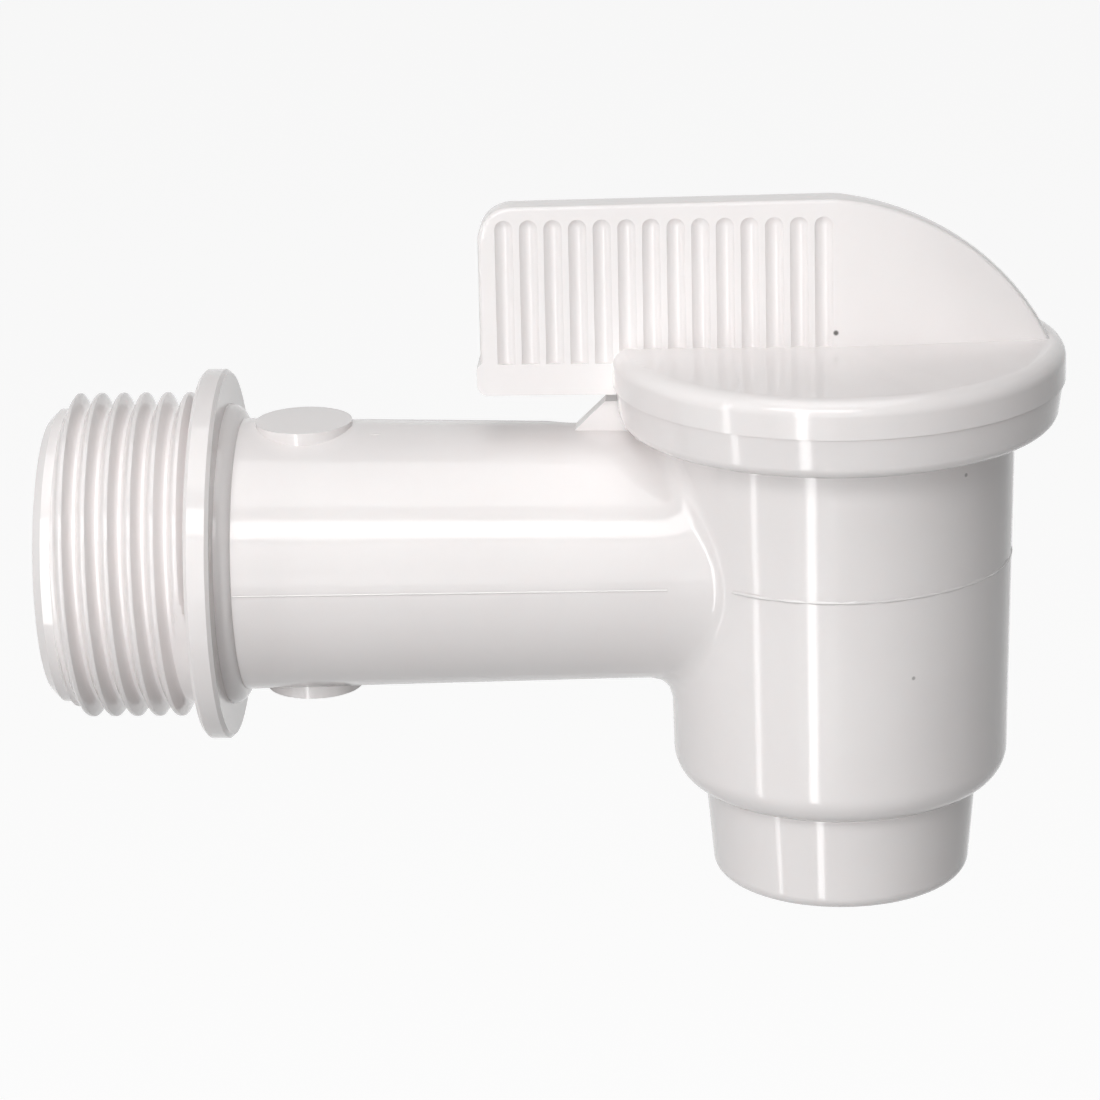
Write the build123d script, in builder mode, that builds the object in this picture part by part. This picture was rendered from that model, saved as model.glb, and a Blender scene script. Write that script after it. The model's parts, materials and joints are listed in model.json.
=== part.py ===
from build123d import *
from math import atan2, ceil, cos, radians, sin, sqrt, tan
import os

os.makedirs("parts", exist_ok=True)

# A barrel tap in millimetres. The origin is the middle of the flange face that seals on
# the barrel, +X runs along the inlet towards the valve, and +Z is up along the valve axis.

# Inlet: 3/4 inch pipe thread, sealing flange and the tapered tube behind it.
thread_r = 13.22
thread_length = 12.5
thread_pitch = 1.814
thread_depth = 1.16
thread_crest = 0.36
thread_root = 0.3
thread_last = 1.26
thread_clear = 0.2
thread_ramp = 0.65
collar_step = 0.1
collar_length = 1.5
collar_chamfer = 0.75
flange_r = 15.05
flange_thickness = 2.0
flange_chamfer = 0.3
flange_root_r = 1.2
tube_r_flange = 11.05
tube_r_barrel = 10.35
inlet_bore_r = 7.65
valve_x = 51.3

# Barrel, an upright chamber that narrows a little towards its rounded foot.
barrel_r_top = 14.2
barrel_r_foot = 13.6
barrel_top = 15.1
barrel_foot = 19.3
barrel_foot_r = 2.75
tube_to_barrel_r = 2.0
chamber_r = 11.6
chamber_floor = 2.3
bead_height = 0.5
bead_width = 1.6

# Spout under the barrel.
spout_r_root = 11.1
spout_r_tip = 10.5
spout_length = 8.1
spout_edge_r = 1.2
spout_bore_r = 8.8

# Round pads above and below the tube, and the stop rib beside the barrel.
pad_r = 3.9
pad_x = 8.3
pad_height = 0.2
pip_r = 0.6
pip_x = 14.25
pip_y = 1.6
pip_height = 0.3
rib_width = 2.0
rib_foot = 21.2
rib_crest = 18.6
rib_height = 12.85

# Cap of the handle, which snaps over the bead at the barrel's top.
cap_r = 18.05
cap_top = 17.5
cap_edge_r = 1.3
seam_z = 14.47
seam_step = 0.15
skirt_r_foot = 17.55
skirt_foot = 11.05
skirt_edge_r = 1.1
roof_gap = 0.2
lip_gap = 0.15
bead_gap = 0.35
stop_gap = 0.3

# Blade of the handle.
blade_left = 28.4
blade_right = 16.7
blade_bottom = 13.9
blade_top_left = 28.85
blade_top_right = 29.2
blade_half_thickness = 2.75
blade_tip_half_thickness = 1.2
blade_draft = 5.5
blade_kink = 0.4
blade_crease = 0.4
blade_bow = 26.0
blade_bow_x = 9.1
blade_band = 16.4
band_step = 0.3
blade_corner_r = 2.7
blade_toe_r = 0.9
blade_edge_r = 0.35

# Grip flutes on both faces of the blade.
flute_count = 14
flute_pitch = 1.94
flute_r = 0.95
flute_depth = 0.33
flute_margin = 0.75
flute_first = 26.3

# Stem under the cap, its seal groove and the tang that turns the ball.
stem_gap = 0.1
stem_end = 10.0
stem_wall = 3.1
boss_r = 4.6
core_top = 14.0
seal_half_width = 0.9
seal_chamfer = 0.3
seal_gap = 0.05
seal_z = 12.5
groove_depth = 1.6
groove_side = 0.25
tang_length = 7.6
tang_thickness = 3.0
tang_depth = 2.0
tang_gap = 0.15

# Ball with its elbow passage, and the two seats it turns on.
ball_r = 11.0
ball_flat_gap = 0.2
port_r = 5.5
seat_gap = 0.1
seat_fit = 0.03
inlet_seat_port_r = 5.8
inlet_seat_length = 6.5
outlet_seat_port_r = 6.0
outlet_seat_wall = 1.7
outlet_seat_crown = 2.0
seat_clear = 0.15

# Places that follow from the sizes above.
thread_root_r = thread_r - thread_depth
thread_turns = ceil(thread_length / thread_pitch)
thread_reach = thread_depth + thread_clear
thread_mouth = thread_root + (thread_pitch - thread_crest - thread_root) * thread_reach / thread_depth
collar_r = thread_root_r - collar_step
valve_plane = Plane(origin=(valve_x, 0, 0), x_dir=(1, 0, 0), z_dir=(0, -1, 0))
valve_axis = Axis((valve_x, 0, 0), (0, 0, 1))
floor_z = chamber_floor - barrel_foot
spout_tip = -barrel_foot - spout_length
stem_r = chamber_r - stem_gap
groove_r = stem_r - groove_depth
roof_under = barrel_top + roof_gap
lip_r = barrel_r_top + lip_gap
relief_r = barrel_r_top + bead_height + bead_gap
lip_top = barrel_top - bead_width - bead_gap
seat_ball_r = ball_r + seat_gap
inlet_seat_r = inlet_bore_r - seat_fit
outlet_seat_r = chamber_r - seat_fit
outlet_seat_top = -inlet_seat_r - seat_clear


def below_sphere(distance, radius=seat_ball_r):
    return sqrt(radius * radius - distance * distance)


# Body: inlet, flange, tube, barrel and spout are one moulding.
with BuildPart() as tap_body:
    # The inlet is turned as a plain blank that reaches into the flange.
    with BuildSketch(Plane.XZ):
        with BuildLine():
            Polyline(
                (flange_thickness / 2, 0),
                (-thread_length, 0),
                (-thread_length, collar_r - collar_chamfer),
                (-thread_length + collar_chamfer, collar_r),
                (-thread_length + collar_length, collar_r),
                (-thread_length + collar_length + thread_ramp, thread_r),
                (flange_thickness / 2, thread_r),
                close=True,
            )
        make_face()
    revolve(axis=Axis.X)
    # The thread's right-hand groove is cut into it one turn at a time.
    for turn in range(thread_turns):
        with BuildLine():
            turn_path = Helix(
                thread_pitch,
                thread_pitch,
                thread_root_r,
                center=(thread_pitch / 2 - thread_last - turn * thread_pitch, 0, 0),
                direction=(1, 0, 0),
            )
        with BuildSketch(Plane(turn_path @ 0, x_dir=(0, 0, 1), z_dir=turn_path % 0)):
            with BuildLine():
                Polyline(
                    (0, -thread_root / 2),
                    (thread_reach, -thread_mouth / 2),
                    (thread_reach, thread_mouth / 2),
                    (0, thread_root / 2),
                    close=True,
                )
            make_face()
        sweep(path=turn_path, is_frenet=True, mode=Mode.SUBTRACT)
    # Flange and tube.
    with BuildSketch(Plane.XZ):
        with BuildLine():
            Polyline(
                (valve_x, 0),
                (0, 0),
                (0, flange_r - flange_chamfer),
                (flange_chamfer, flange_r),
                (flange_thickness - flange_chamfer, flange_r),
                (flange_thickness, flange_r - flange_chamfer),
                (flange_thickness, tube_r_flange + flange_root_r),
            )
            RadiusArc(
                (flange_thickness, tube_r_flange + flange_root_r),
                (flange_thickness + flange_root_r, tube_r_flange),
                flange_root_r,
            )
            Polyline(
                (flange_thickness + flange_root_r, tube_r_flange),
                (valve_x - barrel_r_foot, tube_r_barrel),
                (valve_x, tube_r_barrel),
                (valve_x, 0),
            )
        make_face()
    revolve(axis=Axis.X)
    with BuildSketch(valve_plane):
        with BuildLine():
            Polyline(
                (0, barrel_top),
                (barrel_r_top, barrel_top),
                (barrel_r_foot, barrel_foot_r - barrel_foot),
            )
            RadiusArc(
                (barrel_r_foot, barrel_foot_r - barrel_foot),
                (barrel_r_foot - barrel_foot_r, -barrel_foot),
                barrel_foot_r,
            )
            Polyline(
                (barrel_r_foot - barrel_foot_r, -barrel_foot),
                (0, -barrel_foot),
                (0, barrel_top),
            )
        make_face()
    revolve(axis=valve_axis)
    junction = tap_body.edges().filter_by(lambda e: e.center().X > valve_x - 2 * barrel_r_top)
    junction = junction.filter_by(lambda e: e.geom_type not in (GeomType.CIRCLE, GeomType.LINE))
    fillet(junction, tube_to_barrel_r)
    # The wall is turned clear where the cap's skirt comes down over it.
    with BuildSketch(valve_plane):
        with BuildLine():
            Polyline(
                (barrel_r_top, skirt_foot - lip_gap),
                (cap_r, skirt_foot - lip_gap),
                (cap_r, barrel_top),
                (barrel_r_top, barrel_top),
                close=True,
            )
        make_face()
    revolve(axis=valve_axis, mode=Mode.SUBTRACT)
    with BuildSketch(valve_plane):
        with BuildLine():
            Polyline(
                (0, -barrel_foot + chamber_floor),
                (spout_r_root, -barrel_foot + chamber_floor),
                (spout_r_root, -barrel_foot),
                (spout_r_tip, spout_tip + spout_edge_r),
            )
            RadiusArc(
                (spout_r_tip, spout_tip + spout_edge_r),
                (spout_r_tip - spout_edge_r, spout_tip),
                spout_edge_r,
            )
            Polyline(
                (spout_r_tip - spout_edge_r, spout_tip),
                (0, spout_tip),
                (0, -barrel_foot + chamber_floor),
            )
        make_face()
    revolve(axis=valve_axis)
    # A low round bead under the top edge holds the cap's lip.
    with BuildSketch(valve_plane):
        with BuildLine():
            Polyline(
                (chamber_r, barrel_top),
                (barrel_r_top, barrel_top),
                (barrel_r_top + bead_height, barrel_top - bead_width / 2),
                (barrel_r_top, barrel_top - bead_width),
                (chamber_r, barrel_top - bead_width),
                close=True,
            )
        make_face()
    revolve(axis=valve_axis)
    with BuildSketch(Plane.XY):
        with Locations((pad_x, 0)):
            Circle(pad_r)
    extrude(amount=tube_r_flange + pad_height, both=True)
    # A small round gate mark on the tube's top, in front of the upper pad.
    with BuildSketch(Plane.XY):
        with Locations((pip_x, -pip_y)):
            Circle(pip_r)
    extrude(amount=tube_r_barrel + pip_height)
    with BuildSketch(Plane.XZ):
        with BuildLine():
            Polyline(
                (valve_x - rib_foot - tube_r_barrel / 2, tube_r_barrel / 2),
                (valve_x - rib_foot, tube_r_barrel),
                (valve_x - rib_crest, rib_height),
                (valve_x - chamber_r, rib_height),
                (valve_x - chamber_r, tube_r_barrel / 2),
                close=True,
            )
        make_face()
    extrude(amount=rib_width / 2, both=True)
    with BuildSketch(Plane.YZ.offset(-thread_length)):
        Circle(inlet_bore_r)
    extrude(amount=thread_length + valve_x, mode=Mode.SUBTRACT)
    with BuildSketch(Plane.XY.offset(floor_z)):
        with Locations((valve_x, 0)):
            Circle(chamber_r)
    extrude(amount=barrel_top - floor_z, mode=Mode.SUBTRACT)
    with BuildSketch(Plane.XY.offset(spout_tip)):
        with Locations((valve_x, 0)):
            Circle(spout_bore_r)
    extrude(amount=floor_z - spout_tip, mode=Mode.SUBTRACT)
tap_body.part.label = "tap_body"
export_step(tap_body.part, "parts/tap_body.step")

# Handle: fluted blade, cap and stem are one moulding.
with BuildPart() as handle:
    # The blade's side view: flat top, bowed right edge and the band along the overhang.
    with BuildSketch(valve_plane.offset(-2 * blade_half_thickness)) as side_view:
        with BuildLine():
            ThreePointArc(
                (-blade_kink, blade_top_right),
                (blade_bow_x, blade_bow),
                (blade_right, cap_top),
            )
            Polyline(
                (blade_right, cap_top),
                (blade_right, roof_under),
                (-relief_r, roof_under),
                (-relief_r, blade_bottom),
                (-blade_left - band_step, blade_bottom),
                (-blade_left - band_step, blade_band - band_step),
                (-blade_left, blade_band),
                (-blade_left, blade_top_left),
                (-blade_kink, blade_top_right),
            )
        make_face()
        left_end = side_view.vertices().filter_by(lambda v: v.X < -blade_left + band_step)
        fillet(left_end.sort_by(Axis.Y)[-1], blade_corner_r)
        left_end = side_view.vertices().filter_by(lambda v: v.X < -blade_left - band_step / 2)
        fillet(left_end.sort_by(Axis.Y)[0], blade_toe_r)
    extrude(amount=4 * blade_half_thickness)
    # Each side has a main face and one that runs in towards the thin tip, both with draft.
    tip_turn = atan2(blade_half_thickness - blade_tip_half_thickness, blade_right - blade_crease)
    draft = radians(blade_draft)
    for side in (1, -1):
        for plan_turn in (0, tip_turn):
            face_plane = Plane(
                origin=(valve_x + blade_crease, side * blade_half_thickness, blade_bottom),
                z_dir=(sin(plan_turn), side * cos(plan_turn), cos(plan_turn) * tan(draft)),
            )
            split(bisect_by=face_plane, keep=Keep.BOTTOM)
    # The outline above the band is softened, but not the creases between the side faces.
    outline = handle.edges().filter_by(lambda e: abs(e.center().Y) > blade_tip_half_thickness / 4)
    outline = outline.filter_by(lambda e: e.center().Z > blade_band)
    creases = outline.filter_by(Plane.YZ).filter_by(lambda e: e.center().X > valve_x)
    outline = [e for e in outline if e not in creases]
    fillet(outline, blade_edge_r)
    # Flutes run down each face, round at the top, and end at the band or under the cap's roof.
    for side in (1, -1):
        face_tilt = Plane(
            origin=(valve_x - flute_first, side * blade_half_thickness, blade_bottom),
            x_dir=(1, 0, 0),
            z_dir=(0, -side * sin(draft), cos(draft)),
        )
        flute_top = (blade_top_left - flute_margin - flute_r - blade_bottom) / cos(draft)
        flute_bottom = (blade_band - blade_bottom) / cos(draft)
        out = flute_r - flute_depth
        for index in range(flute_count):
            place = face_tilt.offset(flute_bottom).shift_origin(
                face_tilt.offset(flute_bottom).from_local_coords((index * flute_pitch, side * out, 0))
            )
            with BuildSketch(place):
                Circle(flute_r)
            extrude(amount=flute_top - flute_bottom, mode=Mode.SUBTRACT)
            with Locations(place.offset(flute_top - flute_bottom)):
                Sphere(flute_r, mode=Mode.SUBTRACT)
    # Cap with its skirt and lip, and the stem with the seal groove, turned about the valve axis.
    with BuildSketch(valve_plane):
        with BuildLine():
            Line((0, cap_top), (cap_r - cap_edge_r, cap_top))
            RadiusArc((cap_r - cap_edge_r, cap_top), (cap_r, cap_top - cap_edge_r), cap_edge_r)
            Polyline(
                (cap_r, cap_top - cap_edge_r),
                (cap_r, seam_z),
                (cap_r - seam_step, seam_z),
                (skirt_r_foot, skirt_foot + skirt_edge_r),
            )
            RadiusArc(
                (skirt_r_foot, skirt_foot + skirt_edge_r),
                (skirt_r_foot - skirt_edge_r, skirt_foot),
                skirt_edge_r,
            )
            Polyline(
                (skirt_r_foot - skirt_edge_r, skirt_foot),
                (lip_r, skirt_foot),
                (lip_r, lip_top),
                (relief_r, lip_top + relief_r - lip_r),
                (relief_r, roof_under),
                (stem_r, roof_under),
                (stem_r, seal_z + seal_half_width + groove_side),
                (groove_r, seal_z + seal_half_width + groove_side),
                (groove_r, seal_z - seal_half_width - groove_side),
                (stem_r, seal_z - seal_half_width - groove_side),
                (stem_r, stem_end),
                (stem_r - stem_wall, stem_end),
                (stem_r - stem_wall, core_top),
                (boss_r, core_top),
                (boss_r, stem_end),
                (0, stem_end),
                (0, cap_top),
            )
        make_face()
    revolve(axis=valve_axis)
    with BuildSketch(Plane.XY.offset(stem_end)):
        with Locations((valve_x, 0)):
            Rectangle(tang_length, tang_thickness)
    extrude(amount=-tang_depth)
    # The stop rib runs in a slot through the skirt, a quarter turn long.
    slot_half = rib_width / 2 + stop_gap
    slot_reach = 2 * cap_r
    with BuildSketch(Plane((valve_x, 0, skirt_foot))):
        with BuildLine():
            Polyline(
                (-slot_reach, -slot_half),
                (0, -slot_half),
                (slot_half, 0),
                (slot_half, slot_reach),
                (-slot_reach, slot_reach),
                close=True,
            )
        make_face()
        Circle(barrel_r_top, mode=Mode.SUBTRACT)
    extrude(amount=rib_height + stop_gap - skirt_foot, mode=Mode.SUBTRACT)
handle.part.label = "handle"
export_step(handle.part, "parts/handle.step")

# Ball with an elbow passage from the side to the bottom, and a slot in its flat top.
with BuildPart() as ball:
    with Locations((valve_x, 0, 0)):
        Sphere(ball_r)
    with BuildSketch(Plane.XY.offset(stem_end - ball_flat_gap)):
        with Locations((valve_x, 0)):
            Circle(ball_r)
    extrude(amount=ball_r, mode=Mode.SUBTRACT)
    with BuildSketch(Plane.XY):
        with Locations((valve_x, 0)):
            Circle(port_r)
    extrude(amount=-ball_r, mode=Mode.SUBTRACT)
    with BuildSketch(Plane.YZ.offset(valve_x)):
        Circle(port_r)
    extrude(amount=-ball_r, mode=Mode.SUBTRACT)
    with Locations((valve_x, 0, 0)):
        Sphere(port_r, mode=Mode.SUBTRACT)
    with BuildSketch(Plane.XY.offset(stem_end - tang_depth - tang_gap)):
        with Locations((valve_x, 0)):
            Rectangle(2 * ball_r, tang_thickness + 2 * tang_gap)
    extrude(amount=ball_r, mode=Mode.SUBTRACT)
ball.part.label = "ball"
export_step(ball.part, "parts/ball.step")

# Inlet seat, a sleeve pushed in through the inlet until its cupped end meets the ball.
with BuildPart() as inlet_seat:
    seat_front = valve_x - below_sphere(inlet_seat_r)
    with BuildSketch(Plane.XZ):
        with BuildLine():
            Polyline(
                (valve_x - below_sphere(inlet_seat_port_r), inlet_seat_port_r),
                (seat_front - inlet_seat_length, inlet_seat_port_r),
                (seat_front - inlet_seat_length, inlet_seat_r),
                (seat_front, inlet_seat_r),
            )
            RadiusArc(
                (seat_front, inlet_seat_r),
                (valve_x - below_sphere(inlet_seat_port_r), inlet_seat_port_r),
                -seat_ball_r,
            )
        make_face()
    revolve(axis=Axis.X)
inlet_seat.part.label = "inlet_seat"
export_step(inlet_seat.part, "parts/inlet_seat.step")

# Outlet seat, a cup that stands on the chamber floor and carries the ball.
with BuildPart() as outlet_seat:
    rim_r = sqrt(seat_ball_r ** 2 - outlet_seat_top ** 2)
    crown_under = -below_sphere(outlet_seat_port_r) - outlet_seat_crown
    with BuildSketch(valve_plane):
        with BuildLine():
            RadiusArc(
                (outlet_seat_port_r, -below_sphere(outlet_seat_port_r)),
                (rim_r, outlet_seat_top),
                -seat_ball_r,
            )
            Polyline(
                (rim_r, outlet_seat_top),
                (outlet_seat_r, outlet_seat_top),
                (outlet_seat_r, floor_z),
                (outlet_seat_r - outlet_seat_wall, floor_z),
                (outlet_seat_r - outlet_seat_wall, crown_under),
                (outlet_seat_port_r, crown_under),
                (outlet_seat_port_r, -below_sphere(outlet_seat_port_r)),
            )
        make_face()
    revolve(axis=valve_axis)
outlet_seat.part.label = "outlet_seat"
export_step(outlet_seat.part, "parts/outlet_seat.step")

# Square-cut seal ring in the stem's groove, its corners chamfered.
with BuildPart() as stem_seal:
    with BuildSketch(valve_plane):
        with Locations(((groove_r + seal_gap + stem_r) / 2, seal_z)):
            Rectangle(stem_r - groove_r - seal_gap, 2 * seal_half_width)
    revolve(axis=valve_axis)
    chamfer(stem_seal.edges().filter_by(GeomType.CIRCLE), seal_chamfer)
stem_seal.part.label = "stem_seal"
export_step(stem_seal.part, "parts/stem_seal.step")
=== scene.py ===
import json
import math

import bmesh
import bpy
from mathutils import Matrix, Vector


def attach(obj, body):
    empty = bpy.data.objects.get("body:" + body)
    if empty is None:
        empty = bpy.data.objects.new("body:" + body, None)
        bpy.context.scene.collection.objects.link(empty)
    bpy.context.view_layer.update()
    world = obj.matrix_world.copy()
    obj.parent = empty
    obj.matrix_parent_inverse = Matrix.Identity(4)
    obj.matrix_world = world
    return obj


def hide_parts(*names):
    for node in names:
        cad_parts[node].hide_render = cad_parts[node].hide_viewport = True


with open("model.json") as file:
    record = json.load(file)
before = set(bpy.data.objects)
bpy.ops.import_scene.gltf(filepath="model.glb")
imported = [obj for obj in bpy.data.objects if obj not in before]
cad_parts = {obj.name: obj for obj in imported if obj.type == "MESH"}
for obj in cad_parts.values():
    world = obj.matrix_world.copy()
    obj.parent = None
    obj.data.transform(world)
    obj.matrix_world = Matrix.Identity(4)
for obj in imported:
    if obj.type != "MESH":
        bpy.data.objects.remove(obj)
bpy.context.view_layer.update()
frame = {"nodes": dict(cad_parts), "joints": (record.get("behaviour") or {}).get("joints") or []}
scene = bpy.context.scene
nodes = frame["nodes"]
valveX = frame["joints"][0]["pos_m"][0]  # upright axis of the valve, metres
mm = 0.001
mergeGap = 0.002 * mm  # points this close are one point
planeGap = 0.01 * mm  # points this close to a plane lie on it
wallFit = {"off": 0.004 * mm, "past": 0.01, "lean": math.radians(25)}
print("frame loaded:", sorted(nodes))


def newObject(name, bm):
    mesh = bpy.data.meshes.new(name)
    bm.to_mesh(mesh)
    bm.free()
    obj = bpy.data.objects.new(name, mesh)
    scene.collection.objects.link(obj)
    return obj


def smoothUnder(bm, angle):
    # smooth shading, with sharp edges kept where faces meet at more than the angle
    for face in bm.faces:
        face.smooth = True
    for edge in bm.edges:
        if len(edge.link_faces) == 2:
            edge.smooth = edge.calc_face_angle(0) < angle


def copyOfNode(name):
    # a merged copy of a moulded piece, so that its faces share their edges
    bm = bmesh.new()
    bm.from_mesh(nodes[name].data)
    bmesh.ops.remove_doubles(bm, verts=bm.verts, dist=mergeGap)
    return bm


def turnedNormals(mesh, walls):
    # exact normals on turned walls, so that long thin triangles don't bend the highlights
    exact = {}
    for face in mesh.polygons:
        corners = [mesh.vertices[i].co for i in face.vertices]
        for wall in walls:
            if all(abs(wallOffset(co, wall)) < wallFit["off"] for co in corners):
                for i in face.vertices:
                    exact[i] = wallNormal(mesh.vertices[i].co, wall)
                break
    near = math.cos(wallFit["lean"])
    normals = [Vector((0, 0, 0))] * len(mesh.loops)
    for face in mesh.polygons:
        for corner in face.loop_indices:
            normal = exact.get(mesh.loops[corner].vertex_index)
            if normal and normal.dot(face.normal) > near:
                normals[corner] = normal
    mesh.normals_split_custom_set(normals)


def wallPlace(co, wall):
    # height along the wall's axis, and the arm that points straight out from it
    if wall["axis"] == "x":
        return co.x, Vector((0, co.y, co.z))
    return co.z, Vector((co.x - valveX, co.y, 0))


def wallSlope(wall):
    (lowPlace, lowRadius), (highPlace, highRadius) = wall["low"], wall["high"]
    return (highRadius - lowRadius) / (highPlace - lowPlace)


def wallOffset(co, wall):
    height, arm = wallPlace(co, wall)
    past = wallFit["past"]
    if not wall["low"][0] - past <= height / mm <= wall["high"][0] + past:
        return 1.0
    return arm.length - mm * wall["low"][1] - (height - mm * wall["low"][0]) * wallSlope(wall)


def wallNormal(co, wall):
    arm = wallPlace(co, wall)[1]
    along = Vector((1, 0, 0)) if wall["axis"] == "x" else Vector((0, 0, 1))
    return (arm.normalized() - along * wallSlope(wall)).normalized()


# materials
whitePlastic = {
    "pale": (0.87, 0.838, 0.832),
    "shade": (0.845, 0.81, 0.805),
    "mottle": 90.0,
    "gloss": 0.07,
    "matt": 0.12,
    "scatter": 0.12,
    "scatterReach": (1.0, 0.85, 0.8),
    "scatterScale": 2 * mm,
    "grain": 600.0,
    "flowMarks": 0.02,
    "flowDepth": 0.2 * mm,
}
speckTone = (0.05, 0.045, 0.04)
handleSpecks = [((51.13, -2.30, 18.63), 0.26, 0.9)]
bodySpecks = [((61.09, -10.13, 9.2), 0.2, 0.5), ((56.96, -12.57, -6.7), 0.2, 0.5)]
innerPlastic = {"pale": (0.78, 0.78, 0.75), "shade": (0.72, 0.72, 0.68), "mottle": 140.0}
innerRoughness = {"ball": 0.25, "seat": 0.5, "seal": 0.6}
sealRubber = {"pale": (0.035, 0.034, 0.034), "shade": (0.02, 0.02, 0.02), "mottle": 400.0}


def nodeTree(name):
    material = bpy.data.materials.new(name)
    material.use_nodes = True
    tree = material.node_tree
    return material, tree, tree.nodes["Principled BSDF"]


def mottled(tree, shader, pale, shade, scale):
    # slow drift between two tones over the surface
    place = tree.nodes.new("ShaderNodeTexCoord")
    noise = tree.nodes.new("ShaderNodeTexNoise")
    noise.inputs["Scale"].default_value = scale
    noise.inputs["Detail"].default_value = 3.0
    ramp = tree.nodes.new("ShaderNodeValToRGB")
    ramp.color_ramp.elements[0].position = 0.3
    ramp.color_ramp.elements[0].color = (*shade, 1)
    ramp.color_ramp.elements[1].position = 0.7
    ramp.color_ramp.elements[1].color = (*pale, 1)
    tree.links.new(place.outputs["Object"], noise.inputs["Vector"])
    tree.links.new(noise.outputs["Fac"], ramp.inputs["Fac"])
    tree.links.new(ramp.outputs["Color"], shader.inputs["Base Color"])
    return place, noise, ramp


def addSpecks(tree, shader, place, ramp, specks):
    # dark specks moulded into the plastic: place and radius in millimetres, then strength
    colour = ramp.outputs["Color"]
    for spot, radius, strength in specks:
        away = tree.nodes.new("ShaderNodeVectorMath")
        away.operation = "DISTANCE"
        away.inputs[1].default_value = Vector(spot) * mm
        fade = tree.nodes.new("ShaderNodeMapRange")
        fade.inputs["From Min"].default_value = radius * mm
        fade.inputs["From Max"].default_value = radius * mm / 2
        fade.inputs["To Max"].default_value = strength
        blend = tree.nodes.new("ShaderNodeMix")
        blend.data_type = "RGBA"
        blend.inputs["B"].default_value = (*speckTone, 1)
        tree.links.new(place.outputs["Object"], away.inputs[0])
        tree.links.new(away.outputs["Value"], fade.inputs["Value"])
        tree.links.new(fade.outputs["Result"], blend.inputs["Factor"])
        tree.links.new(colour, blend.inputs["A"])
        colour = blend.outputs["Result"]
    tree.links.new(colour, shader.inputs["Base Color"])


def plasticMaterial(name, look, specks):
    material, tree, shader = nodeTree(name)
    place, noise, ramp = mottled(tree, shader, look["pale"], look["shade"], look["mottle"])
    addSpecks(tree, shader, place, ramp, specks)
    shader.inputs["Subsurface Weight"].default_value = look["scatter"]
    shader.inputs["Subsurface Radius"].default_value = look["scatterReach"]
    shader.inputs["Subsurface Scale"].default_value = look["scatterScale"]
    # moulding gloss that varies a little
    gloss = tree.nodes.new("ShaderNodeMapRange")
    gloss.inputs["To Min"].default_value = look["gloss"]
    gloss.inputs["To Max"].default_value = look["matt"]
    fine = tree.nodes.new("ShaderNodeTexNoise")
    fine.inputs["Scale"].default_value = look["grain"]
    tree.links.new(place.outputs["Object"], fine.inputs["Vector"])
    tree.links.new(fine.outputs["Fac"], gloss.inputs["Value"])
    tree.links.new(gloss.outputs["Result"], shader.inputs["Roughness"])
    bump = tree.nodes.new("ShaderNodeBump")
    bump.inputs["Strength"].default_value = look["flowMarks"]
    bump.inputs["Distance"].default_value = look["flowDepth"]
    tree.links.new(noise.outputs["Fac"], bump.inputs["Height"])
    tree.links.new(bump.outputs["Normal"], shader.inputs["Normal"])
    return material


def plainMaterial(name, look, roughness):
    material, tree, shader = nodeTree(name)
    mottled(tree, shader, look["pale"], look["shade"], look["mottle"])
    shader.inputs["Roughness"].default_value = roughness
    return material


bodyFinish = plasticMaterial("bodyPlastic", whitePlastic, bodySpecks)
handleFinish = plasticMaterial("handlePlastic", whitePlastic, handleSpecks)
ballFinish = plainMaterial("ballPlastic", innerPlastic, innerRoughness["ball"])
seatFinish = plainMaterial("seatPlastic", innerPlastic, innerRoughness["seat"])
sealFinish = plainMaterial("sealRubber", sealRubber, innerRoughness["seal"])
print("materials made")

# inlet thread, a right-hand helix with rounded crests between the plain collar and the flange
inletThread = {
    "crest": 13.22 * mm,
    "root": 12.06 * mm,
    "pitch": 1.814 * mm,
    "length": 12.5 * mm,
    "lastCrest": -1.26 * mm,
    "collarRadius": 11.96 * mm,
    "collarLength": 1.5 * mm,
    "collarChamfer": 0.75 * mm,
    "ramp": 0.65 * mm,
    "runOut": 0.24,
    "runOutFade": 0.06,
    "flankGain": 1.22,
    "flankShare": 0.7,
    "steps": 96,
    "profilePoints": 14,
}


def threadRadius(share, spec):
    # rounded crest and root with straight flanks between, share runs 0 to 1 over a pitch
    wave = math.cos(2 * math.pi * share)
    flat = max(-1.0, min(1.0, spec["flankGain"] * wave))
    soft = spec["flankShare"] * flat + (1 - spec["flankShare"]) * wave
    middle = (spec["crest"] + spec["root"]) / 2
    return middle + soft * (spec["crest"] - spec["root"]) / 2


def radiusLimit(x, spec):
    # chamfered end and plain collar, then a cone up to the full crest
    along = x + spec["length"]
    chamfer = spec["collarRadius"] - spec["collarChamfer"] + along
    slope = (spec["crest"] - spec["collarRadius"]) / spec["ramp"]
    cone = spec["collarRadius"] + max(0.0, along - spec["collarLength"]) * slope
    return min(chamfer, cone)


def ridgeLimit(vert, spec):
    # the ridge ends at the front, a part of a turn after its last crest on top
    angle = math.atan2(-vert.co.y, vert.co.z) % (2 * math.pi)
    part = angle / (2 * math.pi)
    turns = round((vert.co.x - spec["lastCrest"]) / spec["pitch"] - part) + part
    left = max(0.0, min(1.0, (spec["runOut"] - turns) / spec["runOutFade"] + 1))
    return spec["root"] + left * (spec["crest"] - spec["root"])


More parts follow.
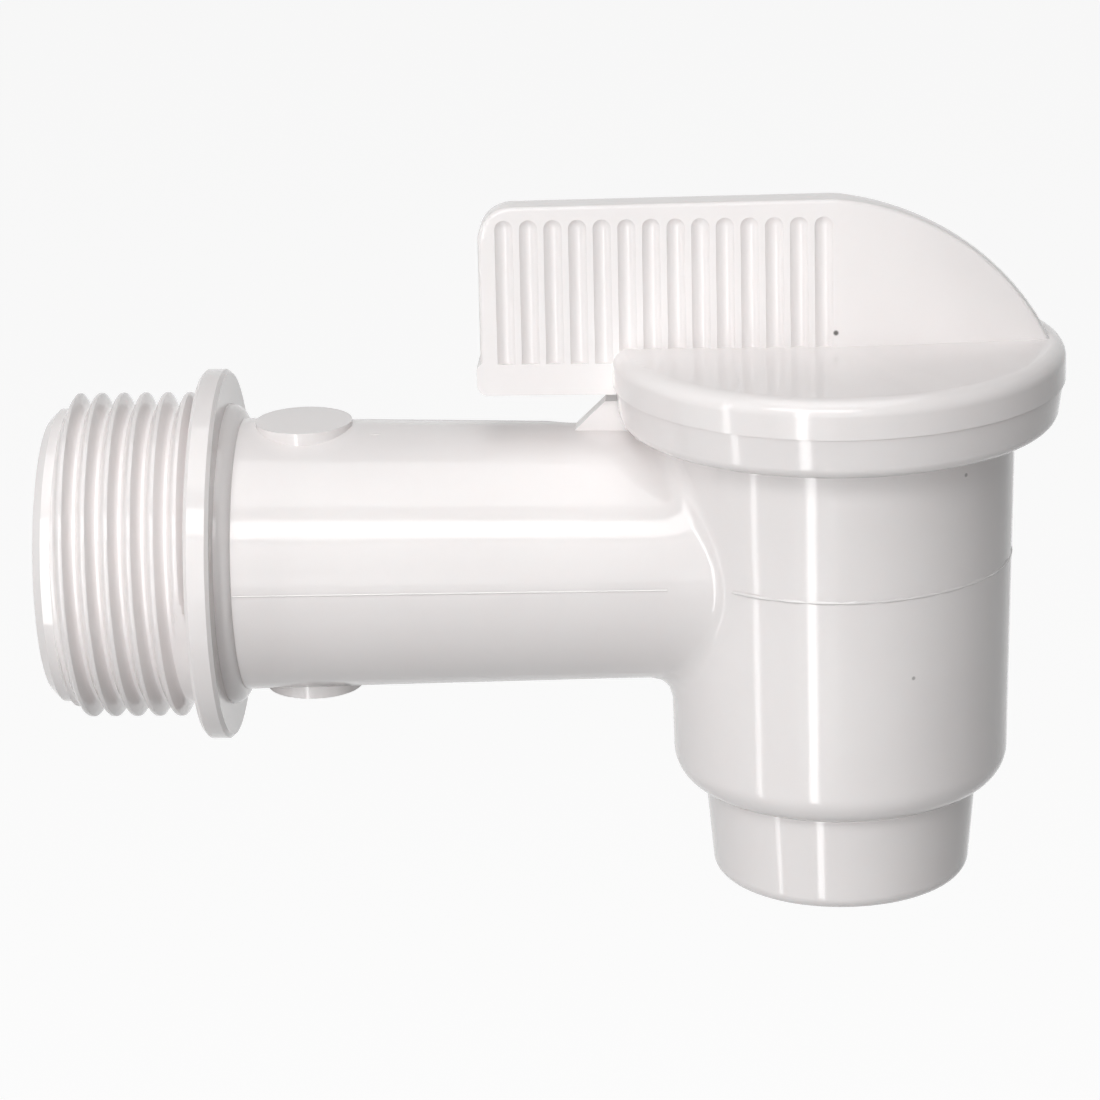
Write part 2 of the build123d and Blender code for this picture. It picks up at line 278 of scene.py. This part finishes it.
def threadMesh(spec):
    bm = bmesh.new()
    pitch = spec["pitch"]
    first = -spec["length"] - 2 * pitch
    turns = math.ceil((spec["length"] + 3 * pitch) / pitch)
    chain = []
    for i in range(spec["profilePoints"] + 1):
        share = i / spec["profilePoints"]
        x = first + share * pitch
        chain.append(bm.verts.new((x, 0, threadRadius((x - spec["lastCrest"]) / pitch, spec))))
    edges = [bm.edges.new(pair) for pair in zip(chain, chain[1:])]
    bmesh.ops.spin(
        bm, geom=chain + edges, cent=(0, 0, 0), axis=(1, 0, 0),
        dvec=(pitch / spec["steps"], 0, 0), angle=2 * math.pi * turns, steps=spec["steps"] * turns,
    )
    bmesh.ops.remove_doubles(bm, verts=bm.verts, dist=mergeGap)
    end = -spec["length"]
    stops = [end, end + spec["collarChamfer"], end + spec["collarLength"], 0.0]
    for x in stops:
        bmesh.ops.bisect_plane(
            bm, geom=bm.verts[:] + bm.edges[:] + bm.faces[:], dist=1e-7,
            plane_co=(x, 0, 0), plane_no=(1, 0, 0), clear_inner=x == stops[0], clear_outer=x == stops[-1],
        )
    for vert in bm.verts:
        radius = math.hypot(vert.co.y, vert.co.z)
        limit = min(radiusLimit(vert.co.x, spec), ridgeLimit(vert, spec))
        # the collar is plain, with no groove in it
        plain = vert.co.x < spec["collarLength"] - spec["length"]
        if plain or radius > limit:
            vert.co.y *= limit / radius
            vert.co.z *= limit / radius
    return bm


def isOutside(co, spec):
    # on the inlet's end face, its threaded outside or the flange's face
    if abs(co.x + spec["length"]) < planeGap:
        return True
    endRadius = spec["collarRadius"] - spec["collarChamfer"]
    return co.x < planeGap and math.hypot(co.y, co.z) > endRadius


def boundaryLoop(bm, x):
    rims = [e for e in bm.edges if e.is_boundary]
    return [e for e in rims if all(abs(v.co.x - x) < planeGap for v in e.verts)]


# turned walls of the body: place along the axis and radius at both ends, millimetres
bodyWalls = [
    {"axis": "x", "low": (3.2, 11.05), "high": (37.7, 10.35)},
    {"axis": "z", "low": (-16.55, 13.6), "high": (15.1, 14.2)},
    {"axis": "z", "low": (-26.2, 10.5), "high": (-19.3, 11.1)},
]
sharpOver = {"body": math.radians(32), "handle": math.radians(28)}

# raised parting line of the mould, round the barrel and along both sides of the tube
partingLine = {"halfWidth": 0.16 * mm, "height": 0.035 * mm, "sunk": 0.05 * mm, "open": 52, "steps": 90}


def addPartingLine(bm, spec, walls):
    tube, barrel = walls[0], walls[1]
    radius = mm * barrel["low"][1] - mm * barrel["low"][0] * wallSlope(barrel)
    wide = spec["halfWidth"]
    section = [(-spec["sunk"], -wide), (spec["height"], 0), (-spec["sunk"], wide)]
    start = math.pi + math.radians(spec["open"])
    aim = Vector((math.cos(start), math.sin(start), 0))
    chain = [bm.verts.new(Vector((valveX, 0, z)) + aim * (radius + out)) for out, z in section]
    edges = [bm.edges.new(pair) for pair in zip(chain, chain[1:])]
    bmesh.ops.spin(
        bm, geom=chain + edges, cent=(valveX, 0, 0), axis=(0, 0, 1),
        angle=2 * math.pi - 2 * math.radians(spec["open"]), steps=spec["steps"],
    )
    for side in (-1, 1):
        rows = []
        for place, reach in (tube["low"], tube["high"]):
            rows.append([bm.verts.new((mm * place, side * (mm * reach + out), z)) for out, z in section])
        for i in range(len(section) - 1):
            bm.faces.new((rows[0][i], rows[1][i], rows[1][i + 1], rows[0][i + 1]))


def makeBody(spec):
    bm = copyOfNode("tap_body")
    # the inlet's outside, its end face and the flange's face make room for the finer thread
    outside = [f for f in bm.faces if all(isOutside(v.co, spec) for v in f.verts)]
    bmesh.ops.delete(bm, geom=outside, context="FACES")
    helix = threadMesh(spec)
    holder = bpy.data.meshes.new("helix")
    helix.to_mesh(holder)
    helix.free()
    bm.from_mesh(holder)
    bpy.data.meshes.remove(holder)
    for x in (-spec["length"], 0.0):
        bmesh.ops.triangle_fill(bm, use_beauty=True, edges=boundaryLoop(bm, x), normal=(-1, 0, 0))
    addPartingLine(bm, partingLine, bodyWalls)
    bmesh.ops.recalc_face_normals(bm, faces=bm.faces)
    smoothUnder(bm, sharpOver["body"])
    body = newObject("tapBody", bm)
    turnedNormals(body.data, bodyWalls)
    body.data.materials.append(bodyFinish)
    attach(body, "body")
    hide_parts("tap_body")
    return body


body = makeBody(inletThread)
print("body made:", len(body.data.polygons), "faces")


# turned walls of the cap, above and below its seam
capWalls = [
    {"axis": "z", "low": (14.47, 18.05), "high": (16.2, 18.05)},
    {"axis": "z", "low": (12.15, 17.55), "high": (14.47, 17.9)},
]


def makeHandle():
    bm = copyOfNode("handle")
    smoothUnder(bm, sharpOver["handle"])
    handle = newObject("tapHandle", bm)
    turnedNormals(handle.data, capWalls)
    handle.data.materials.append(handleFinish)
    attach(handle, "handle")
    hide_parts("handle")
    return handle


handle = makeHandle()
print("handle made:", len(handle.data.polygons), "faces")

innerFinish = {
    "ball": ballFinish,
    "inlet_seat": seatFinish,
    "outlet_seat": seatFinish,
    "stem_seal": sealFinish,
}
for nodeName, finish in innerFinish.items():
    mesh = nodes[nodeName].data
    mesh.materials.clear()
    mesh.materials.append(finish)
print("inner pieces finished")

# floor, far below because the tap is held by its inlet
floorSpec = {"height": -0.42, "size": 16.0, "glow": 0.9, "tone": 0.24}


def seenDirectly(tree):
    # 1 for rays from the camera, also through a reflection or a clear piece
    path = tree.nodes.new("ShaderNodeLightPath")
    seen = path.outputs["Is Camera Ray"]
    for name in ("Is Glossy Ray", "Is Transmission Ray"):
        either = tree.nodes.new("ShaderNodeMath")
        either.operation = "MAXIMUM"
        tree.links.new(seen, either.inputs[0])
        tree.links.new(path.outputs[name], either.inputs[1])
        seen = either.outputs[0]
    return seen


def makeFloor(spec):
    bm = bmesh.new()
    bmesh.ops.create_grid(bm, x_segments=1, y_segments=1, size=spec["size"] / 2)
    bmesh.ops.translate(bm, verts=bm.verts, vec=(valveX, 0, spec["height"]))
    floor = newObject("floor", bm)
    material = bpy.data.materials.new("paleFloor")
    material.use_nodes = True
    tree = material.node_tree
    tree.nodes.clear()
    glow = tree.nodes.new("ShaderNodeMath")
    glow.operation = "MULTIPLY"
    glow.inputs[1].default_value = spec["glow"]
    light = tree.nodes.new("ShaderNodeEmission")
    matt = tree.nodes.new("ShaderNodeBsdfDiffuse")
    matt.inputs["Color"].default_value = (*[spec["tone"]] * 3, 1)
    both = tree.nodes.new("ShaderNodeAddShader")
    out = tree.nodes.new("ShaderNodeOutputMaterial")
    tree.links.new(seenDirectly(tree), glow.inputs[0])
    tree.links.new(glow.outputs[0], light.inputs["Strength"])
    tree.links.new(matt.outputs[0], both.inputs[0])
    tree.links.new(light.outputs[0], both.inputs[1])
    tree.links.new(both.outputs[0], out.inputs["Surface"])
    floor.data.materials.append(material)


makeFloor(floorSpec)

# soft studio light on the camera's side: two narrow strips, a box for the tube's highlight, and broad
# boxes overhead, in front, to the left and low; turn and rise in degrees, sizes in metres
studio = {
    "aim": (valveX - 15 * mm, 0, 0),
    "lamps": [
        {"name": "frontStrip", "turn": 17, "rise": -2, "away": 0.60, "size": (0.066, 0.80), "power": 1.1},
        {"name": "sideStrip", "turn": 57, "rise": -2, "away": 0.60, "size": (0.045, 0.80), "power": 0.5},
        {"name": "tubeBox", "turn": 12, "rise": 37, "away": 0.60, "size": (0.42, 0.16), "power": 0.95},
        {"name": "leftBox", "turn": 30, "rise": 28, "away": 1.20, "size": (1.0, 1.0), "power": 0.64},
        {"name": "topBox", "turn": 0, "rise": 80, "away": 1.20, "size": (1.0, 1.0), "power": 5.6},
        {"name": "frontBox", "turn": 0, "rise": 8, "away": 1.20, "size": (0.8, 0.8), "power": 2.3},
        {"name": "sideBox", "turn": 80, "rise": 10, "away": 1.20, "size": (0.8, 0.8), "power": 0.65},
        {"name": "lowBox", "turn": 15, "rise": -15, "away": 1.00, "size": (0.5, 0.5), "power": 0.6},
    ],
    "ambient": 0.1,
    "ambientTint": (1.0, 0.985, 0.97),
}


def makeLight(spec, aim):
    turn, rise = math.radians(spec["turn"]), math.radians(spec["rise"])
    level = math.cos(rise)
    offset = Vector((-math.sin(turn) * level, -math.cos(turn) * level, math.sin(rise)))
    data = bpy.data.lights.new(spec["name"], "AREA")
    data.shape = "RECTANGLE"
    data.size, data.size_y = spec["size"]
    data.energy = spec["power"]
    lamp = bpy.data.objects.new(spec["name"], data)
    lamp.location = Vector(aim) + offset * spec["away"]
    lamp.rotation_euler = (-offset).to_track_quat("-Z", "Y").to_euler()
    lamp.visible_camera = False
    scene.collection.objects.link(lamp)


for lampSpec in studio["lamps"]:
    makeLight(lampSpec, studio["aim"])


def makeWorld(spec):
    world = bpy.data.worlds.new("studio")
    scene.world = world
    world.use_nodes = True
    tree = world.node_tree
    tree.nodes.clear()
    room = tree.nodes.new("ShaderNodeBackground")
    room.inputs["Color"].default_value = (*spec["ambientTint"], 1)
    room.inputs["Strength"].default_value = spec["ambient"]
    white = tree.nodes.new("ShaderNodeBackground")
    white.inputs["Color"].default_value = (1, 1, 1, 1)
    pick = tree.nodes.new("ShaderNodeMixShader")
    out = tree.nodes.new("ShaderNodeOutputWorld")
    tree.links.new(seenDirectly(tree), pick.inputs["Fac"])
    tree.links.new(room.outputs[0], pick.inputs[1])
    tree.links.new(white.outputs[0], pick.inputs[2])
    tree.links.new(pick.outputs[0], out.inputs["Surface"])


makeWorld(studio)
print("studio lit")

# camera where the photographer stood: above and in front, a long lens
cameraSpec = {
    "place": (47.646, -323.502, 106.372),
    "yaw": 0.061,
    "pitch": 0.317,
    "roll": -0.028,
    "lens": 137.48,
    "sensor": 36,
    "nearest": 0.01,
}


def makeCamera(spec):
    yaw, pitch, roll = spec["yaw"], spec["pitch"], spec["roll"]
    right = Vector((math.cos(yaw), math.sin(yaw), 0))
    level = Vector((-math.sin(yaw), math.cos(yaw), 0))
    up = Vector((0, 0, 1))
    ahead = level * math.cos(pitch) - up * math.sin(pitch)
    top = up * math.cos(pitch) + level * math.sin(pitch)
    side = right * math.cos(roll) + top * math.sin(roll)
    crown = top * math.cos(roll) - right * math.sin(roll)
    data = bpy.data.cameras.new("photoCamera")
    data.sensor_width = spec["sensor"]
    data.sensor_fit = "HORIZONTAL"
    data.lens = spec["lens"]
    data.clip_start = spec["nearest"]
    camera = bpy.data.objects.new("photoCamera", data)
    turn = Matrix((side, crown, -ahead)).transposed().to_4x4()
    camera.matrix_world = Matrix.Translation(Vector(spec["place"]) * mm) @ turn
    scene.collection.objects.link(camera)
    scene.camera = camera


makeCamera(cameraSpec)
scene.view_settings.view_transform = "Standard"
print("camera set")
